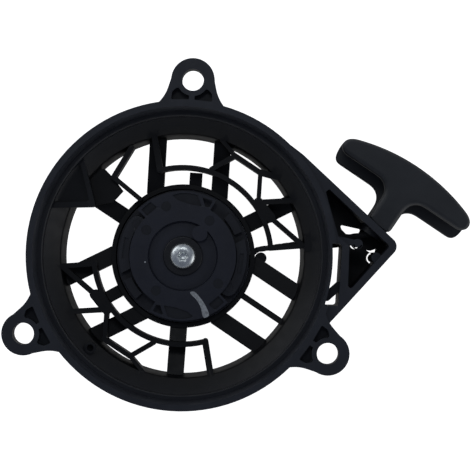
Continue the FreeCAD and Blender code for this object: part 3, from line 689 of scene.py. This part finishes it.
def round_patch(name, centre, radius, z, material):
    """Thin disc lying on the plate."""
    sides = 28
    turns = [FULL_TURN * k / sides for k in range(sides)]
    outline = [(centre.x + radius * math.cos(t), centre.y + radius * math.sin(t)) for t in turns]
    film(name, outline, z, 0.05 * MM, "plate_plastic", material)


def on_plate(radius, angle):
    """Plan point on the plate from a radius in mm and an angle in degrees."""
    turn = math.radians(angle)
    return Vector((math.cos(turn), math.sin(turn))) * radius * MM


def plate_marks():
    """Floors of the ejector marks and of the wing recesses: duller plastic, its darker colour painted shade.
    """
    for number, (radius, angle) in enumerate(EJECTOR_MARKS, 1):
        centre = on_plate(radius, angle)
        round_patch(f"ejector_mark_{number}", centre, EJECTOR_FILM_R, EJECTOR_FLOOR_Z, RECESS_PAINTED_SHADE)
    for number, turn in ((1, 0), (2, 180)):
        for kind, corners, floor_z in (("sail", SAIL, SAIL_FLOOR_Z), ("pocket", POCKET, POCKET_FLOOR_Z)):
            points = [on_plate(radius, angle + turn) for radius, angle in corners]
            film(f"{kind}_floor_{number}", [tuple(p) for p in points], floor_z - 0.02 * MM, 0.06 * MM,
                 "plate_plastic", RECESS_PAINTED_SHADE)


def pale_dot():
    """Small pale dot beside the dish, in the stripe's material."""
    round_patch("pale_dot_patch", on_plate(21.2, 193), 0.5 * MM, PLATE_TOP, PAINT)


paint_stripe()
pale_dot()
plate_marks()
rope_run()
wound_rope()
centre_screw()
pull_grip()


# ---- floor, camera and light ---------------------------------------------------------------
def floor():
    """Plain pale floor under the closed face, evenly lit, that throws no light back at the part."""
    z = CAD_BOX[0][2] - 0.2 * MM
    half = 3.0
    corners = [(-half, -half, z), (half, -half, z), (half, half, z), (-half, half, z)]
    mesh = bpy.data.meshes.new("floor")
    mesh.from_pydata(corners, [], [(0, 1, 2, 3)])
    material, _, shader = new_material("floor")
    shader.inputs["Base Color"].default_value = (0.9, 0.9, 0.9, 1)
    shader.inputs["Roughness"].default_value = 0.9
    shader.inputs["Emission Color"].default_value = (1, 1, 1, 1)
    shader.inputs["Emission Strength"].default_value = 0.95
    mesh.materials.append(material)
    obj = bpy.data.objects.new("floor", mesh)
    bpy.context.scene.collection.objects.link(obj)
    obj.visible_diffuse = False
    obj.visible_glossy = False


def camera():
    """Straight above the starter, turned so that one lug points nearly up."""
    data = bpy.data.cameras.new("camera")
    data.sensor_width = 36
    data.lens = 127.66
    data.shift_y = 0.0574
    data.clip_end = 20
    obj = bpy.data.objects.new("camera", data)
    obj.location = (0.0292, -0.0014, 0.900)
    obj.rotation_euler = (0, 0, math.radians(3.8))
    bpy.context.scene.collection.objects.link(obj)
    bpy.context.scene.camera = obj


def area_light(name, place_at, target, size, power, colour=(1, 1, 1)):
    """Soft rectangular light aimed at a point."""
    data = bpy.data.lights.new(name, "AREA")
    data.shape = "RECTANGLE"
    data.size, data.size_y = size
    data.energy = power
    data.color = colour
    obj = bpy.data.objects.new(name, data)
    obj.location = place_at
    obj.rotation_euler = (Vector(target) - Vector(place_at)).to_track_quat("-Z", "Y").to_euler()
    bpy.context.scene.collection.objects.link(obj)


def grey(value):
    """Neutral colour of one brightness."""
    return (value, value, value)


# Colour of the surround from straight down (0) over the horizon (0.5) to overhead (1).
SKY = [(0.3, grey(0.2)), (0.49, grey(0.5)), (0.52, grey(1.5)), (0.62, grey(0.9)),
       (0.72, (0.135, 0.15, 0.18)), (1.0, (0.09, 0.10, 0.13))]


def studio():
    """Surround that is bright at the horizon and dim overhead, with three soft boxes."""
    world = bpy.data.worlds.new("studio")
    world.use_nodes = True
    tree = world.node_tree
    direction = add_node(tree, "ShaderNodeTexCoord")
    axes = add_node(tree, "ShaderNodeSeparateXYZ")
    tree.links.new(direction.outputs["Generated"], axes.inputs["Vector"])
    height = add_node(tree, "ShaderNodeMapRange", {"From Min": -1.0, "From Max": 1.0})
    tree.links.new(axes.outputs["Z"], height.inputs["Value"])
    sky = ramp(tree, height.outputs["Result"], SKY)
    tree.links.new(sky, tree.nodes["Background"].inputs["Color"])
    bpy.context.scene.world = world
    area_light("key", (-0.75, 0.55, 0.75), (0, 0, 0), (0.7, 0.5), 1.3, (0.96, 0.98, 1.0))
    area_light("fill", (0.95, -0.25, 0.6), (0, 0, 0), (0.6, 0.6), 1.2)
    area_light("top", (-0.05, 0.42, 1.0), (0, 0, 0), (0.3, 0.2), 0.6, (0.94, 0.98, 1.0))
    bpy.context.scene.view_settings.view_transform = "Standard"


floor()
camera()
studio()
